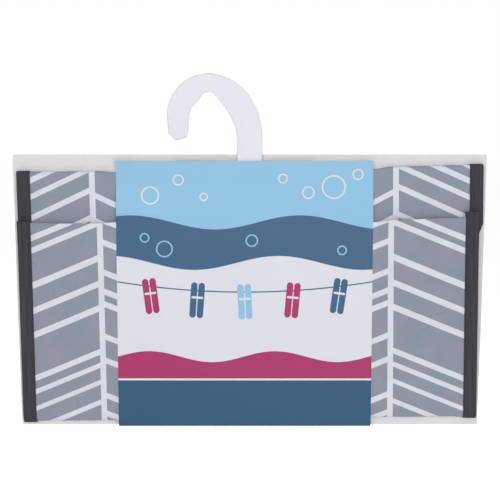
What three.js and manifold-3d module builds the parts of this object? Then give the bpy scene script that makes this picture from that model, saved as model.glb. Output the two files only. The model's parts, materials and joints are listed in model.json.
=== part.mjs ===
// A cloth peg bag folded once onto a display card: a bag with a bound flap, a moulded hanger in its
// top fold, its lower half folded up in front, a board behind it and a board band round the front.
// Millimetres, +X to the right, +Y away from the viewer, +Z up, origin where a line seats in the hook.
import * as THREE from "three";
import { mergeVertices } from "three/addons/utils/BufferGeometryUtils.js";
import Module from "manifold-3d";

const wasm = await Module();
wasm.setup();

// Bag: outer size, cloth and tape
const BAG_WIDTH = 330;
const UPPER_HEIGHT = 181; // top fold down to the packing fold
const LOWER_HEIGHT = 144.5; // packing fold up to the bottom edge of the bag
const CLOTH = 0.5;
const TAPE = 0.5;
const BINDING_WIDTH = 10;
const TAIL_RIGHT = 4; // loose end of tape past the bag's bottom edge
const TAIL_LEFT = 1;
const HEM_HEIGHT = 12;
const MOUTH_BELOW_BAR = 8;

// Flap
const FLAP_LENGTH = 104;
const FLAP_STRAIGHT = 38.5; // straight side before the rounded corner
const FLAP_FLAT = 190; // straight run of the lower edge
const FLAP_LEAN = 7; // how far the side leans in where the corner starts
const CORNER_PULL = 21; // how far the corner's curve follows the side

// Hanger
const HANGER_THICKNESS = 2.4;
const HANGER_BEVEL = 0.8;
const SHANK_WIDTH = 18;
const BAR_HEIGHT = 22;
const BAR_DROP = 1.2; // slack of the cloth over the bar
const BAR_END_GAP = 5;
const BAR_CORNER = 8;
const HOOK_TOP = 66.8; // above the top fold
const SEAT_HEIGHT = 53.8; // above the top fold
const SEAT_REACH = 29; // from the shank's centre line
const NOTCH_RADIUS = 6.2;
const NOTCH_HALF_ANGLE = THREE.MathUtils.degToRad(69);
const LIMB_REACH = 58.2; // from the shank's centre line to the outer side of the free limb
const LIMB_WIDTH = 15.6;
const LIMB_HEIGHT = 37; // where the free limb's curve starts
const HIP_HEIGHT = 20; // where the shank's curve starts
const TIP_HEIGHT = 19.7;
const TIP_CHAMFER = 5;
const TIP_SLOPE = 2; // how much higher the tip is on its inner side
const TIP_EASE = 1.2; // small chamfer on the inner side of the tip
const LIMB_TAPER = 0.9; // how far each side of the limb leans in towards the tip
// Fullness of the hook's curves, as shares of each curve's rise and run
const CROWN_FULLNESS = { rise: 0.67, run: 0.46 };
const LIMB_FULLNESS = { rise: 0.6, run: 0.51 };
const THROAT_FULLNESS = { rise: 0.26, run: 0.54, foot: 0.38 };
const LIMB_INNER_FULLNESS = 0.45;
const NOTCH_LEAD = { across: 3, down: 5 }; // slope of the limb's inner side into the notch

// Display card
const BOARD = 0.6;
const CARD_MARGIN_TOP = 3.2; // past each side of the bag
const CARD_MARGIN_BOTTOM = 0.4;
const CARD_ABOVE = 9.5; // above the top fold
const CARD_BELOW = 6.4; // below the packing fold
const BAND_WIDTH = 181.8;
const BAND_OFFSET = -3.6;
const BAND_ABOVE = 5.5; // above the top fold
const SPINE_RISE = 2.2;
const BEAD_WIDTH = 36;
const BEAD_INSET = 8;
const BEAD_MARGIN = 1.2; // clear of the top fold and of the band's top edge

// Clearances
const LAYER_GAP = 0.3; // between layers that move past each other
const SEAM_GAP = 0.15; // between pieces that are sewn or stuck together
const HINGE_GAP = 0.6; // between the top fold and the flap
const BINDING_START = 1.2; // flap binding below the flap's hinge line
const CREASE_GAP = 0.3;

const CURVE_STEPS = 16;
const BEVEL_STEPS = 2;
const CUT_PAST = 1; // how far a cutting body runs past what it cuts
const MERGE_DISTANCE = 1e-4;

// Depths of the layers, from the hanger outwards
const tapeLayer = SEAM_GAP + TAPE;
const pocketGap = SEAM_GAP + CLOTH + LAYER_GAP;
const layersInFront = 2 * tapeLayer + LAYER_GAP + CLOTH + pocketGap;
const foldInner = Math.max(HANGER_THICKNESS / 2 + LAYER_GAP, layersInFront / 2);
const foldOuter = foldInner + CLOTH;
const backY = [foldInner, foldOuter];
const flapY = [-foldOuter, -foldInner];
const flapBindingY = [flapY[0] - tapeLayer, flapY[1] + tapeLayer];
const upperBindingY = [flapBindingY[1] + LAYER_GAP, backY[1] + tapeLayer];
const frontY = [upperBindingY[0] + tapeLayer, upperBindingY[0] + tapeLayer + CLOTH];
const hemY = [frontY[1] + SEAM_GAP, frontY[1] + SEAM_GAP + CLOTH];
const cardY = [upperBindingY[1] + LAYER_GAP, upperBindingY[1] + LAYER_GAP + BOARD];

// The lower half mirrors the upper one about the packing fold's axis
const foldAxisY = (upperBindingY[0] + flapBindingY[0] - LAYER_GAP) / 2;
const mirrored = ([near, far]) => [2 * foldAxisY - far, 2 * foldAxisY - near];
const radii = ([near, far]) => [near - foldAxisY, far - foldAxisY];
const lowerBackY = mirrored(backY);
const lowerFrontY = mirrored(frontY);
const lowerBindingY = mirrored(upperBindingY);
const bandY = lowerBackY[0] - LAYER_GAP; // inner face over the lower half
const bandTopY = flapY[0] - LAYER_GAP; // inner face over the flap

// Heights, from the top fold's outer edge at 0
const topAxisZ = -foldOuter;
const flapHingeZ = topAxisZ - HINGE_GAP;
const barTopZ = topAxisZ - BAR_DROP;
const barBottomZ = barTopZ - BAR_HEIGHT;
const mouthZ = barBottomZ - MOUTH_BELOW_BAR;
const foldAxisZ = -UPPER_HEIGHT + radii(backY)[1];
const bagBottomZ = -UPPER_HEIGHT + LOWER_HEIGHT;
const bottomFoldOuter = (lowerFrontY[1] - lowerBackY[0]) / 2;
const bottomFoldInner = (lowerFrontY[0] - lowerBackY[1]) / 2;
const bottomFoldY = (lowerFrontY[1] + lowerBackY[0]) / 2;
const bottomFoldZ = bagBottomZ - bottomFoldOuter;
const cardBottomZ = -UPPER_HEIGHT - CARD_BELOW;
const creaseZ = cardBottomZ - CREASE_GAP - BOARD / 2;
const creaseY = (cardY[0] + cardY[1]) / 2;

// Widths
const bagHalf = BAG_WIDTH / 2;
const clothHalf = bagHalf - tapeLayer;
const clothX = [-clothHalf, clothHalf];
const barHalf = bagHalf - BINDING_WIDTH - BAR_END_GAP;
const bandX = [BAND_OFFSET - BAND_WIDTH / 2, BAND_OFFSET + BAND_WIDTH / 2];

// Geometry helpers
function extrude(shape, depth, bevel = 0) {
  return new THREE.ExtrudeGeometry(shape, {
    depth: depth - 2 * bevel,
    steps: 1,
    curveSegments: CURVE_STEPS,
    bevelEnabled: bevel > 0,
    bevelThickness: bevel,
    bevelSize: bevel,
    bevelOffset: -bevel,
    bevelSegments: BEVEL_STEPS,
  }).translate(0, 0, bevel);
}

// A shape drawn in Y and Z, run along X
function alongX(shape, [x0, x1]) {
  const turn = new THREE.Matrix4().makeBasis(
    new THREE.Vector3(0, 1, 0),
    new THREE.Vector3(0, 0, 1),
    new THREE.Vector3(1, 0, 0),
  );
  return extrude(shape, x1 - x0).applyMatrix4(turn).translate(x0, 0, 0);
}

// A shape drawn in X and Z, run along Y
function alongY(shape, [y0, y1], bevel = 0) {
  return extrude(shape, y1 - y0, bevel).rotateX(Math.PI / 2).translate(0, y1, 0);
}

function box([x0, x1], [y0, y1], [z0, z1]) {
  return new THREE.BoxGeometry(x1 - x0, y1 - y0, z1 - z0).translate(
    (x0 + x1) / 2,
    (y0 + y1) / 2,
    (z0 + z1) / 2,
  );
}

// Half of a ring in Y and Z: its upper half, or its lower half
function halfRing(y, z, [inner, outer], isUpper) {
  const start = isUpper ? 0 : Math.PI;
  const ring = new THREE.Shape();
  ring.absarc(y, z, outer, start, start + Math.PI, false);
  ring.absarc(y, z, inner, start + Math.PI, start, true);
  ring.closePath();
  return ring;
}

function toSolid(geometry) {
  const bare = geometry.clone();
  bare.deleteAttribute("normal");
  bare.deleteAttribute("uv");
  const merged = mergeVertices(bare, MERGE_DISTANCE);
  return new wasm.Manifold(
    new wasm.Mesh({
      numProp: 3,
      vertProperties: new Float32Array(merged.attributes.position.array),
      triVerts: new Uint32Array(merged.index.array),
    }),
  );
}

function toGeometry(solid) {
  const mesh = solid.getMesh();
  const geometry = new THREE.BufferGeometry();
  geometry.setAttribute("position", new THREE.BufferAttribute(mesh.vertProperties, 3));
  geometry.setIndex(new THREE.BufferAttribute(mesh.triVerts, 1));
  geometry.computeVertexNormals();
  return geometry;
}

const cut = (body, ...tools) =>
  toGeometry(tools.reduce((solid, tool) => solid.subtract(toSolid(tool)), toSolid(body)));
const join = (...bodies) =>
  toGeometry(bodies.map(toSolid).reduce((solid, next) => solid.add(next)));

// Hanger: hook, shank and the bar that lies in the bag's top fold, moulded in one
function hangerOutline() {
  const half = SHANK_WIDTH / 2;
  const limbInner = -LIMB_REACH + LIMB_WIDTH;
  const notchZ = SEAT_HEIGHT - NOTCH_RADIUS;
  const notchDrop = notchZ + NOTCH_RADIUS * Math.cos(NOTCH_HALF_ANGLE);
  const notchSpan = NOTCH_RADIUS * Math.sin(NOTCH_HALF_ANGLE);
  const crownRise = HOOK_TOP - HIP_HEIGHT;
  const crownRun = half + SEAT_REACH;
  const limbRise = HOOK_TOP - LIMB_HEIGHT;
  const limbRun = LIMB_REACH - SEAT_REACH;
  const throatRise = notchDrop - HIP_HEIGHT;
  const throatRun = SEAT_REACH - notchSpan - half;
  const shape = new THREE.Shape();
  shape.moveTo(half, barTopZ);
  shape.lineTo(half, HIP_HEIGHT);
  // outer side of the hook, over the crown and down the free limb
  shape.bezierCurveTo(
    half, HIP_HEIGHT + CROWN_FULLNESS.rise * crownRise,
    -SEAT_REACH + CROWN_FULLNESS.run * crownRun, HOOK_TOP,
    -SEAT_REACH, HOOK_TOP,
  );
  shape.bezierCurveTo(
    -SEAT_REACH - LIMB_FULLNESS.run * limbRun, HOOK_TOP,
    -LIMB_REACH, LIMB_HEIGHT + LIMB_FULLNESS.rise * limbRise,
    -LIMB_REACH, LIMB_HEIGHT,
  );
  // chamfered tip
  shape.lineTo(-LIMB_REACH + LIMB_TAPER, TIP_HEIGHT + TIP_CHAMFER);
  shape.lineTo(-LIMB_REACH + LIMB_TAPER + TIP_CHAMFER, TIP_HEIGHT);
  shape.lineTo(limbInner - LIMB_TAPER - TIP_EASE, TIP_HEIGHT + TIP_SLOPE);
  shape.lineTo(limbInner - LIMB_TAPER, TIP_HEIGHT + TIP_CHAMFER);
  // inner side: limb, notch for the line, throat and shank
  shape.lineTo(limbInner, LIMB_HEIGHT);
  shape.bezierCurveTo(
    limbInner, LIMB_HEIGHT + LIMB_INNER_FULLNESS * (notchDrop - LIMB_HEIGHT),
    -SEAT_REACH - notchSpan - NOTCH_LEAD.across, notchDrop - NOTCH_LEAD.down,
    -SEAT_REACH - notchSpan, notchDrop,
  );
  shape.absarc(
    -SEAT_REACH, notchZ, NOTCH_RADIUS,
    Math.PI / 2 + NOTCH_HALF_ANGLE, Math.PI / 2 - NOTCH_HALF_ANGLE, true,
  );
  shape.bezierCurveTo(
    -SEAT_REACH + notchSpan + THROAT_FULLNESS.run * throatRun, notchDrop - THROAT_FULLNESS.rise * throatRise,
    -half, HIP_HEIGHT + THROAT_FULLNESS.foot * throatRise,
    -half, HIP_HEIGHT,
  );
  shape.lineTo(-half, barTopZ);
  // bar
  shape.lineTo(-barHalf + BAR_CORNER, barTopZ);
  shape.absarc(-barHalf + BAR_CORNER, barTopZ - BAR_CORNER, BAR_CORNER, Math.PI / 2, Math.PI, false);
  shape.absarc(-barHalf + BAR_CORNER, barBottomZ + BAR_CORNER, BAR_CORNER, Math.PI, 1.5 * Math.PI, false);
  shape.absarc(barHalf - BAR_CORNER, barBottomZ + BAR_CORNER, BAR_CORNER, -Math.PI / 2, 0, false);
  shape.absarc(barHalf - BAR_CORNER, barTopZ - BAR_CORNER, BAR_CORNER, 0, Math.PI / 2, false);
  shape.closePath();
  return shape;
}

// Outline of the flap and of its binding, drawn in by inset all round except at the top
function flapOutline(inset, top) {
  const half = bagHalf - inset;
  const bottom = -FLAP_LENGTH + inset;
  const flat = FLAP_FLAT / 2;
  const turn = -FLAP_STRAIGHT;
  const lean = half - FLAP_LEAN;
  const shape = new THREE.Shape();
  shape.moveTo(half, top);
  shape.lineTo(-half, top);
  shape.lineTo(-half, turn);
  shape.bezierCurveTo(-lean, turn - CORNER_PULL, -flat - (half - flat) / 2, bottom, -flat, bottom);
  shape.lineTo(flat, bottom);
  shape.bezierCurveTo(flat + (half - flat) / 2, bottom, lean, turn - CORNER_PULL, half, turn);
  shape.closePath();
  return shape;
}

// Tape folded round an outline's edge: two walls and the turn at the edge
function flapBinding() {
  const top = flapHingeZ - BINDING_START;
  const clear = flapHingeZ + BINDING_WIDTH;
  const walls = alongY(flapOutline(0, top), flapBindingY);
  const through = [flapBindingY[0] - CUT_PAST, flapBindingY[1] + CUT_PAST];
  const opening = alongY(flapOutline(BINDING_WIDTH, clear), through);
  const slot = alongY(flapOutline(TAPE, clear), [flapY[0] - SEAM_GAP, flapY[1] + SEAM_GAP]);
  return cut(walls, opening, slot);
}

// Straight tape round the bag's side edge; side is -1 on the left and 1 on the right
function sideBinding(side, [near, far], heights) {
  const edge = side * bagHalf;
  const inner = side * (bagHalf - BINDING_WIDTH);
  const slotEnd = side * (bagHalf - TAPE);
  const span = (a, b) => [Math.min(a, b), Math.max(a, b)];
  const past = [heights[0] - CUT_PAST, heights[1] + CUT_PAST];
  const body = box(span(edge, inner), [near, far], heights);
  const slot = box(span(slotEnd, inner - side * CUT_PAST), [near + TAPE, far - TAPE], past);
  return cut(body, slot);
}

// The same tape where it turns round the packing fold
function sideBindingFold(side) {
  const [inner, outer] = radii(upperBindingY);
  const span = (a, b) => [Math.min(a, b), Math.max(a, b)];
  const wall = span(side * bagHalf, side * (bagHalf - BINDING_WIDTH));
  const web = span(side * bagHalf, side * (bagHalf - TAPE));
  const bend = (ring, x) => alongX(halfRing(foldAxisY, foldAxisZ - SEAM_GAP, ring, false), x);
  return join(
    bend([outer - TAPE, outer], wall),
    bend([inner, inner + TAPE], wall),
    bend([inner, outer], web),
  );
}

// Cloth turned round the packing fold
function clothFold(layer) {
  return alongX(halfRing(foldAxisY, foldAxisZ - SEAM_GAP, radii(layer), false), clothX);
}

// Cloth turned over the hanger's bar, with the slit that the shank stands in
function topFold() {
  const turn = alongX(halfRing(0, topAxisZ, [foldInner, foldOuter], true), clothX);
  const slitHalf = SHANK_WIDTH / 2 + LAYER_GAP;
  const slit = box([-slitHalf, slitHalf], [-foldInner, foldInner], [topAxisZ - CUT_PAST, CUT_PAST]);
  return cut(turn, slit);
}

// Cloth turned round the bag's bottom edge
function bottomFold() {
  return alongX(halfRing(bottomFoldY, bottomFoldZ, [bottomFoldInner, bottomFoldOuter], true), clothX);
}

// Backing board, a little narrower at the bottom
function backingCard() {
  const topHalf = bagHalf + CARD_MARGIN_TOP;
  const bottomHalf = bagHalf + CARD_MARGIN_BOTTOM;
  const shape = new THREE.Shape();
  shape.moveTo(-topHalf, CARD_ABOVE);
  shape.lineTo(-bottomHalf, cardBottomZ);
  shape.lineTo(bottomHalf, cardBottomZ);
  shape.lineTo(topHalf, CARD_ABOVE);
  shape.closePath();
  return alongY(shape, cardY);
}

// Band: spine under the fold, front over the lower half, shoulder, and top over the flap
function frontCard() {
  const spineEnd = creaseY - CREASE_GAP;
  const frontZ = creaseZ + SPINE_RISE;
  const shoulderZ = bagBottomZ + BAND_ABOVE;
  const lipZ = (shoulderZ + BAND_ABOVE) / 2;
  const shape = new THREE.Shape();
  shape.moveTo(spineEnd, creaseZ + BOARD / 2);
  shape.lineTo(bandY, frontZ + BOARD / 2);
  shape.lineTo(bandY, shoulderZ);
  shape.lineTo(bandTopY, lipZ);
  shape.lineTo(bandTopY, BAND_ABOVE);
  shape.lineTo(bandTopY - BOARD, BAND_ABOVE);
  shape.lineTo(bandTopY - BOARD, lipZ);
  shape.lineTo(bandY - BOARD, shoulderZ);
  shape.lineTo(bandY - BOARD, frontZ - BOARD / 2);
  shape.lineTo(spineEnd, creaseZ - BOARD / 2);
  shape.closePath();
  return alongX(shape, bandX);
}

// Glue between the band's top edge and the backing board, on each side of the shank
function glueBead(side) {
  const outer = BAND_OFFSET + side * (BAND_WIDTH / 2 - BEAD_INSET);
  const inner = outer - side * BEAD_WIDTH;
  return box(
    [Math.min(outer, inner), Math.max(outer, inner)],
    [bandTopY + SEAM_GAP, cardY[0] - SEAM_GAP],
    [BEAD_MARGIN, BAND_ABOVE - BEAD_MARGIN],
  );
}

// Materials
const finish = (color, roughness) => new THREE.MeshStandardMaterial({ color, roughness, metalness: 0 });
const clothGrey = () => finish(0x9196a3, 0.7);
const tapeDark = () => finish(0x46434b, 0.85);
const plasticWhite = () => finish(0xe4e4ee, 0.35);
const boardPale = () => finish(0xdedce0, 0.75);
const boardBlue = () => finish(0x4c6b8f, 0.5);
const glueClear = () => finish(0xe8e4d8, 0.4);

// Assembly
const pack = new THREE.Group();
const bag = new THREE.Group();
const flap = new THREE.Group();
const lowerHalf = new THREE.Group();
const card = new THREE.Group();
pack.add(bag, flap, lowerHalf, card);
pack.position.set(SEAT_REACH, 0, -SEAT_HEIGHT);

function piece(group, name, geometry, material) {
  const mesh = new THREE.Mesh(geometry, material);
  mesh.name = name;
  group.add(mesh);
}

const upperZ = [foldAxisZ, topAxisZ - SEAM_GAP];
const lowerZ = [foldAxisZ, bottomFoldZ - SEAM_GAP];
const hangerY = [-HANGER_THICKNESS / 2, HANGER_THICKNESS / 2];

piece(bag, "hanger", alongY(hangerOutline(), hangerY, HANGER_BEVEL), plasticWhite());
piece(bag, "top_fold", topFold(), clothGrey());
piece(bag, "back_panel_upper", box(clothX, backY, upperZ), clothGrey());
piece(bag, "front_panel_upper", box(clothX, frontY, [foldAxisZ, mouthZ]), clothGrey());
piece(bag, "mouth_hem", box(clothX, hemY, [mouthZ - HEM_HEIGHT, mouthZ]), clothGrey());
piece(bag, "back_fold", clothFold(backY), clothGrey());
piece(bag, "front_fold", clothFold(frontY), clothGrey());

piece(flap, "flap_panel", alongY(flapOutline(tapeLayer, flapHingeZ), flapY), clothGrey());
piece(flap, "flap_binding", flapBinding(), tapeDark());

piece(lowerHalf, "back_panel_lower", box(clothX, lowerBackY, lowerZ), clothGrey());
piece(lowerHalf, "front_panel_lower", box(clothX, lowerFrontY, lowerZ), clothGrey());
piece(lowerHalf, "bottom_fold", bottomFold(), clothGrey());

for (const [name, side, tail] of [["left", -1, TAIL_LEFT], ["right", 1, TAIL_RIGHT]]) {
  const tailZ = [foldAxisZ, bagBottomZ + tail];
  piece(bag, `side_binding_${name}_upper`, sideBinding(side, upperBindingY, upperZ), tapeDark());
  piece(bag, `side_binding_${name}_fold`, sideBindingFold(side), tapeDark());
  piece(lowerHalf, `side_binding_${name}_lower`, sideBinding(side, lowerBindingY, tailZ), tapeDark());
  piece(card, `glue_bead_${name}`, glueBead(side), glueClear());
}

piece(card, "backing_card", backingCard(), boardPale());
piece(card, "front_card", frontCard(), boardBlue());

export default pack;
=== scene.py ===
"""Looks of a cloth peg bag folded once onto its display card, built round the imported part.

Metres, in the part's own frame: +X to the right, +Y away from the viewer, +Z up, origin where a line
seats in the hook. Colours are written as they are seen, from 0 to 255.
"""
import json
import math

import bmesh
import bpy
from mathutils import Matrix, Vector, noise


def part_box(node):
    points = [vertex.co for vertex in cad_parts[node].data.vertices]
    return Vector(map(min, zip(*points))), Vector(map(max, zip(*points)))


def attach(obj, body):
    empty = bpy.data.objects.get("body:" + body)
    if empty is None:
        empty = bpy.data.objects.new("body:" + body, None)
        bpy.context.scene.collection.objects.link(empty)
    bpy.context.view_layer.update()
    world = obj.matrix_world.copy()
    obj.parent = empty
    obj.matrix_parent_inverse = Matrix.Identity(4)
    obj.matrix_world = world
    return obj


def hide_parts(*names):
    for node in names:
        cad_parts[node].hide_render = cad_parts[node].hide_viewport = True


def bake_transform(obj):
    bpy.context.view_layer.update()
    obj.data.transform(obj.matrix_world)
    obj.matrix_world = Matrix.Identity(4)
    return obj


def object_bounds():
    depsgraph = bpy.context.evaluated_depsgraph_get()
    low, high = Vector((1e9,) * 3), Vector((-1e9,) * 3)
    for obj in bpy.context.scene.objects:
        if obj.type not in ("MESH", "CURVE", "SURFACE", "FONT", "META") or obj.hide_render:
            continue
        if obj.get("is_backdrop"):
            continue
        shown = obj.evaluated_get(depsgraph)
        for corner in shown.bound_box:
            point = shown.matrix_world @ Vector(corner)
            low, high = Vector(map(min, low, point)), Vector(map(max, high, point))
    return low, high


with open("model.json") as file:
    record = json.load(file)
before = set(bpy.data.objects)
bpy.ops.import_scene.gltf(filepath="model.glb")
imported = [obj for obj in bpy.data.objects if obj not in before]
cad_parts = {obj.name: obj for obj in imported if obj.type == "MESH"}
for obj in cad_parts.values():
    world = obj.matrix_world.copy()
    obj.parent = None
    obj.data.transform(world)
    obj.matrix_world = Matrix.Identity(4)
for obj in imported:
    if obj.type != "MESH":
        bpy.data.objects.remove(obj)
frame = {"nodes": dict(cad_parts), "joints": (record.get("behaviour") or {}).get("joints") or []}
CAD_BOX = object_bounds()

MM = 0.001
X, Y, Z = 0, 1, 2
QUARTER_TURN, HALF_TURN = math.pi / 2, math.pi
UP, DOWN = QUARTER_TURN, -QUARTER_TURN


# The frame's own places and sizes

def span(node, axis):
    low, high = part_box(node)
    return low[axis], high[axis]


def middle(node, axis):
    return sum(span(node, axis)) / 2


def extent(node, axis):
    low, high = span(node, axis)
    return high - low


JOINTS = {joint["name"]: Vector(joint.get("pos_m") or (0, 0, 0)) for joint in frame["joints"]}
HINGE = JOINTS["flap_open"]
CREASE = JOINTS["card_open"]
CENTRE_X = HINGE.x
FOLD = Vector((CENTRE_X, middle("back_fold", Y), span("back_fold", Z)[1]))

FOLD_RADIUS = extent("back_fold", Y) / 2
CLOTH = extent("flap_panel", Y)
BOARD = extent("backing_card", Y)
BINDING_WIDTH = extent("side_binding_left_lower", X)
HALF_BAG = extent("flap_binding", X) / 2
HALF_CLOTH = extent("flap_panel", X) / 2

FLAP_Y = middle("flap_panel", Y)
BACK_Y = middle("back_panel_upper", Y)
FRONT_Y = middle("front_panel_upper", Y)
HEM_Y = middle("mouth_hem", Y)
LOWER_BACK_Y = middle("back_panel_lower", Y)
LOWER_FRONT_Y = middle("front_panel_lower", Y)
CARD_FACE_Y = span("backing_card", Y)[0]
COVER_Y = span("back_panel_lower", Y)[0]

TOP_AXIS_Z, TOP_Z = span("top_fold", Z)
EDGE_AXIS_Z, EDGE_Z = span("bottom_fold", Z)
FLAP_TIP_Z = span("flap_binding", Z)[0]
MOUTH_Z = span("front_panel_upper", Z)[1]
HEM_HEIGHT = extent("mouth_hem", Z)
BAND_LEFT, BAND_RIGHT = (x - CENTRE_X for x in span("front_card", X))

# Camera, placed as the photograph was taken
VIEW_DISTANCE = 1.0
VIEW_ELEVATION = math.radians(8.34)
VIEW_BELOW_TOP = 58.4 * MM
VIEW_RIGHT = 0.2 * MM
FOCAL_PIXELS = 1400.8
IMAGE_PIXELS = 500
SENSOR_WIDTH = 36.0

# How the bag lies in the pack
TOP_SKEW = math.radians(0.85)
LOWER_SKEW = math.radians(0.5)
LOWER_PIVOT = 72 * MM  # below the folded half's top edge
LOWER_NARROWING = 0.990
LOWER_SHIFT = -0.55 * MM
LEVEL_REACH = 40 * MM  # above the packing fold, at which both halves end level
# Dips of the two top edges, and how far the packing fold sags: across and height, in millimetres
TOP_WAVE = (
    (-165, 0), (-108, -0.3), (-96, -1.2), (-84, -0.2), (76, -0.2), (87, -2), (101, -0.2), (165, 0.2),
)
EDGE_WAVE = ((-158, -0.1), (-120, -0.9), (-94, -0.4), (87, -2.0), (107, 0.0), (153, 1.0))
FOLD_WAVE = ((-165, 0.8), (60, 0.8), (100, 0.0), (148, 0.0), (160, 0.8))
WAVE_REACH = 30 * MM
EDGE_LIFT = 2.0 * MM  # of the folded half's top edge, beside the band
LIFT_REACH = 11 * MM
LIFT_RAMP = 14 * MM
# The folded half lies in front of this
FOLDED_Y = (span("flap_binding", Y)[0] + span("side_binding_left_lower", Y)[1]) / 2
LIE_RAMP = 45 * MM  # from the top fold to where the upper half lies as the folded half does
PUFF = 1.0 * MM
PUFF_AT_ENDS = 0.35
PUFF_ROUNDNESS = 0.7  # below 1 the cloth stands out more evenly
WRINKLE = 0.22 * MM
WRINKLE_SCALE = 34.0
WRINKLE_SQUEEZE = 0.6  # so that wrinkles are longer across than up

# Tape, stitches and flap outline
TAPE = 0.5 * MM
SEAM_GAP = 0.15 * MM
LIFT = CLOTH / 2 + SEAM_GAP + TAPE / 2  # from the middle of the cloth to the middle of the tape on it
WEB_DEPTH = 0.9 * MM
TAIL = {-1: 1 * MM, 1: 4 * MM}  # loose tape past the bag's bottom edge, left and right
FLAP_STRAIGHT = 41.5 * MM
FLAP_FLAT = 190 * MM
FLAP_LEAN = 7 * MM
CORNER_PULL = 21 * MM
SLIT_HALF = 9.3 * MM
FLAP_TAPE_WIDTH = 9.5 * MM
SIDE_TAPE_WIDTH = 9.5 * MM
# Rows of a leg of tape, as shares from its inner edge to its turn, close together at the edge
LEG_SHARES = (0, 0.06, 0.3, 0.6, 0.9)
STITCH_INSET = 1.0 * MM  # from the tape's inner edge
STITCH_PITCH = 2.7 * MM
STITCH_LENGTH = 2.4 * MM
THREAD = 0.7 * MM
STITCH_SIDES, STITCH_RINGS = 8, 5
FLAP_SEAM_STOP = 3 * MM  # below the top fold
SIDE_SEAM_STOP = 4 * MM  # from the tape's ends
FOLD_SEAM_GAP = 2 * MM  # on each side of the packing fold
HEM_SEAM = 0.85  # share of the hem's height, down from the mouth

# Printed herringbone, in millimetres: width of a column, slope of its stripes, lean of the whole print
# and length of a repeat. The lines are where stripes meet the column lines, down from the top edge
FLAP_PRINT = {
    "pitch": 53.75,
    "slope": 0.465,
    "lean": 0.0034,
    "repeat": 160,
    "outer_lines": (-24.2, -13.6, -2, 13.1, 32.8, 52, 63, 84, 101, 118),
    "middle_lines": (-20, -10.6, 16.8, 35, 51, 64, 79, 102, 117),
    "inner_lines": (-11, 6, 21, 44, 58, 80, 96, 110, 124),
    "odd_widths": {-2: 4.1},
}
BODY_PRINT = {
    "pitch": 52.05,
    "slope": 0.41,
    "lean": 0.004,
    "repeat": 222,
    "outer_lines": (-8.3, 0.6, 25.7, 44.1, 61.7, 93.4, 103.3, 115.7, 130.4, 150, 163, 177, 190),
    "middle_lines": (-16, -1.7, 14.2, 35.8, 49.6, 58.7, 82.4, 99.9, 125.7, 139, 158, 172, 186),
    "inner_lines": (-10, 9, 22, 40, 63, 75, 90, 112, 127, 150, 161, 184),
    "odd_widths": {25.7: 4.9, 44.1: 4.65, 61.7: 4.7, 103.3: 3.8, 115.7: 3.55, 130.4: 3.8},
}
PRINT_START = -25  # of the first repeat
STRIPE = 4.35
COLUMN_LINE = 4.1
# Middle of the print, from the middle of the bag
FLAP_PRINT_CENTRE = -4.2 * MM
BODY_PRINT_CENTRE = -1.9 * MM

# Mesh steps
CROSS_STEP = 3 * MM
LENGTH_STEP = 3 * MM
TURN_STEPS = 10
CORNER_STEPS = 22
RIM_ANGLE = math.radians(50)
LEAST_LENGTH = 1e-7


class Run:
    """The way of a strip through the pack, seen from the side and measured along the strip."""

    def __init__(self, y, z, heading):
        self.end = Vector((y, z))
        self.heading = heading
        self.length = 0.0
        self.steps = []

    def line(self, length):
        return self._add(length, 0.0)

    def turn(self, radius, angle):
        return self._add(radius * abs(angle), math.copysign(1 / radius, angle))

    def _add(self, length, bend):
        self.steps.append((self.length, self.end, self.heading, bend))
        self.end = self._point(self.end, self.heading, bend, length)
        self.heading += bend * length
        self.length += length
        return self.length

    @staticmethod
    def _point(start, heading, bend, length):
        if bend == 0:
            return start + length * Vector((math.cos(heading), math.sin(heading)))
        turned = heading + bend * length
        arc = Vector((math.sin(turned) - math.sin(heading), math.cos(heading) - math.cos(turned)))
        return start + arc / bend

    def at(self, along, out):
        """The point at that length, moved out on the strip's outer side."""
        begun = [step for step in self.steps if step[0] <= along] or self.steps[:1]
        start, origin, heading, bend = begun[-1]
        turned = heading + bend * (along - start)
        point = self._point(origin, heading, bend, along - start)
        return point + out * Vector((-math.sin(turned), math.cos(turned)))

    def stations(self, first, last):
        """Lengths at which a mesh needs a row, close together in the turns."""
        found = [first]
        ends = [step[0] for step in self.steps[1:]] + [self.length]
        for (start, _, _, bend), end in zip(self.steps, ends):
            low, high = max(start, first), min(end, last)
            if high - low < LEAST_LENGTH:
                continue
            count = TURN_STEPS if bend else max(1, round((high - low) / LENGTH_STEP))
            found += [low + (high - low) * (i + 1) / count for i in range(count)]
        return found


# The bag's cloth is one strip, from the flap's lower edge to the hem in the mouth
STRIP = Run(FLAP_Y, FLAP_TIP_Z, UP)
TOP_START = STRIP.line(TOP_AXIS_Z - FLAP_TIP_Z)
TOP_END = STRIP.turn((BACK_Y - FLAP_Y) / 2, -HALF_TURN)
PACK_START = STRIP.line(TOP_AXIS_Z - FOLD.z)
PACK_END = STRIP.turn((BACK_Y - LOWER_BACK_Y) / 2, -HALF_TURN)
PACK_BOTTOM = (PACK_START + PACK_END) / 2
EDGE_START = STRIP.line(EDGE_AXIS_Z - FOLD.z)
EDGE_END = STRIP.turn((LOWER_FRONT_Y - LOWER_BACK_Y) / 2, -HALF_TURN)
INNER_START = STRIP.line(EDGE_AXIS_Z - FOLD.z)
STRIP.turn((FRONT_Y - LOWER_FRONT_Y) / 2, HALF_TURN)
MOUTH = STRIP.line(MOUTH_Z - FOLD.z)
STRIP.turn((HEM_Y - FRONT_Y) / 2, -HALF_TURN)
HEM_END = STRIP.line(HEM_HEIGHT)


def ease(t):
    t = min(max(t, 0.0), 1.0)
    return t * t * (3 - 2 * t)


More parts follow.
